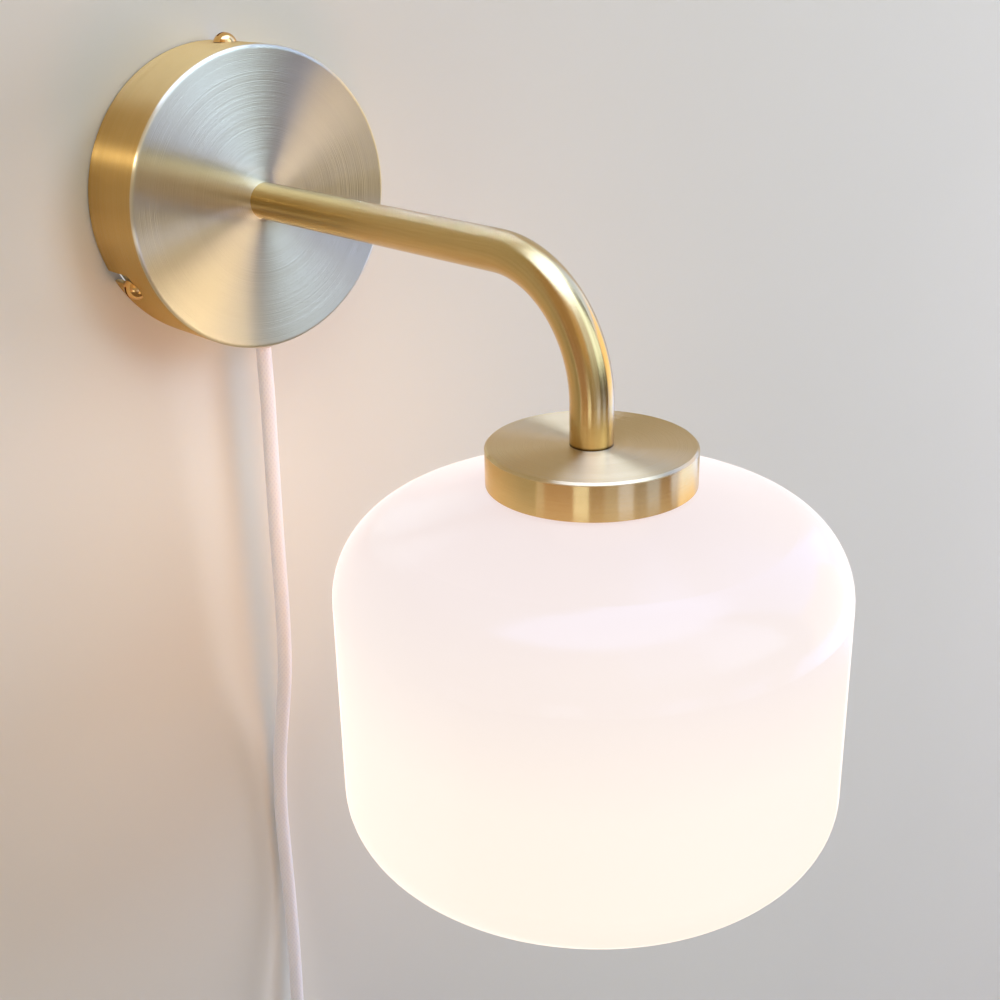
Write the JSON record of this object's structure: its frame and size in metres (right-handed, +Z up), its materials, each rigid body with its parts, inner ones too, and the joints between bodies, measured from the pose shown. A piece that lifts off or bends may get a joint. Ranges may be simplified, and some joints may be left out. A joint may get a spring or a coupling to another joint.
{
  "type": "wall lamp",
  "caption": "Brass wall lamp with a round wall cup, a fixed bent arm and a closed opal glass drum shade under a turned cap, fed by a textile cord with an in-line switch and a plug.",
  "frame": {"origin": "centre of the round wall cup's back, on the wall plane", "axes": "+Z up, +Y into the wall, so the lamp stands out along -Y, +X to the right seen from the front"},
  "size_m": [0.1663, 0.276, 0.6822],
  "materials": {
    "cup_brass": "turned, fine circular brushing on the face, lacquered",
    "arm_brass": "satin, lacquered",
    "cap_brass": "turned, bright side and brushed top",
    "screw_brass": "polished",
    "fitting_brass": "plain machined",
    "zinc_steel": "zinc plated",
    "terminal_white": "moulded",
    "gland_plastic": "moulded nylon",
    "cord_textile": "braided textile over a round sheath",
    "core_plastic": "core insulation, brown and blue",
    "lead_plastic": "smooth sheath",
    "collar_plastic": "moulded threaded ring",
    "gasket_rubber": "soft silicone",
    "opal_glass": "opal white, glossy outside",
    "holder_plastic": "heat-resistant moulding",
    "ceramic": "unglazed ceramic",
    "bulb_metal": "plain",
    "bulb_black": "insulating glass",
    "bulb_plastic": "moulded",
    "bulb_glass": "frosted",
    "tie_fabric": "woven strap",
    "switch_plastic": "moulded",
    "rocker_plastic": "moulded",
    "plug_plastic": "moulded",
    "pin_metal": "nickel plated",
    "sleeve_plastic": "moulded sleeve"
  },
  "bodies": {
    "lamp": {"wall_cup": "cup_brass", "arm_tube": "arm_brass", "shade_cap": "cap_brass", "cup_screws": "screw_brass", "arm_nipple": "fitting_brass", "arm_nut": "fitting_brass", "cap_nipple": "fitting_brass", "cap_nut": "fitting_brass", "holder_contact": "fitting_brass", "wall_bracket": "zinc_steel", "arm_washer": "zinc_steel", "terminal_screws": "zinc_steel", "switch_screws": "zinc_steel", "terminal_block": "terminal_white", "cord_gland": "gland_plastic", "gland_nut": "gland_plastic", "gland_screw": "gland_plastic", "power_cord": "cord_textile", "cord_link": "cord_textile", "cord_coil": "cord_textile", "cord_tail": "cord_textile", "mains_cores": "core_plastic", "lead_cores": "core_plastic", "lamp_lead": "lead_plastic", "shade_collar": "collar_plastic", "shade_gasket": "gasket_rubber", "holder_cap": "holder_plastic", "holder_body": "holder_plastic", "holder_insert": "ceramic", "cord_tie": "tie_fabric", "switch_base": "switch_plastic", "switch_cover": "switch_plastic", "switch_boots": "switch_plastic", "plug_body": "plug_plastic", "plug_boot": "plug_plastic", "plug_pins": "pin_metal", "pin_sleeves": "sleeve_plastic"},
    "shade": {"shade": "opal_glass"},
    "bulb": {"bulb_screw_cap": "bulb_metal", "bulb_insulator": "bulb_black", "bulb_contact": "bulb_metal", "bulb_housing": "bulb_plastic", "bulb_globe": "bulb_glass"},
    "rocker": {"switch_rocker": "rocker_plastic"}
  },
  "joints": [
    {"name": "shade_turn", "type": "hinge", "parent": "lamp", "child": "shade", "pos_m": [0, -0.195, -0.06], "axis": [0, 0, 1], "range_deg": [0, 360]},
    {"name": "bulb_turn", "type": "hinge", "parent": "lamp", "child": "bulb", "pos_m": [0, -0.195, -0.1], "axis": [0, 0, 1], "range_deg": [0, 360]},
    {"name": "rocker_tilt", "type": "hinge", "parent": "lamp", "child": "rocker", "pos_m": [-0.006, -0.015, -0.434], "axis": [1, 0, 0], "range_deg": [0, 12]}
  ]
}
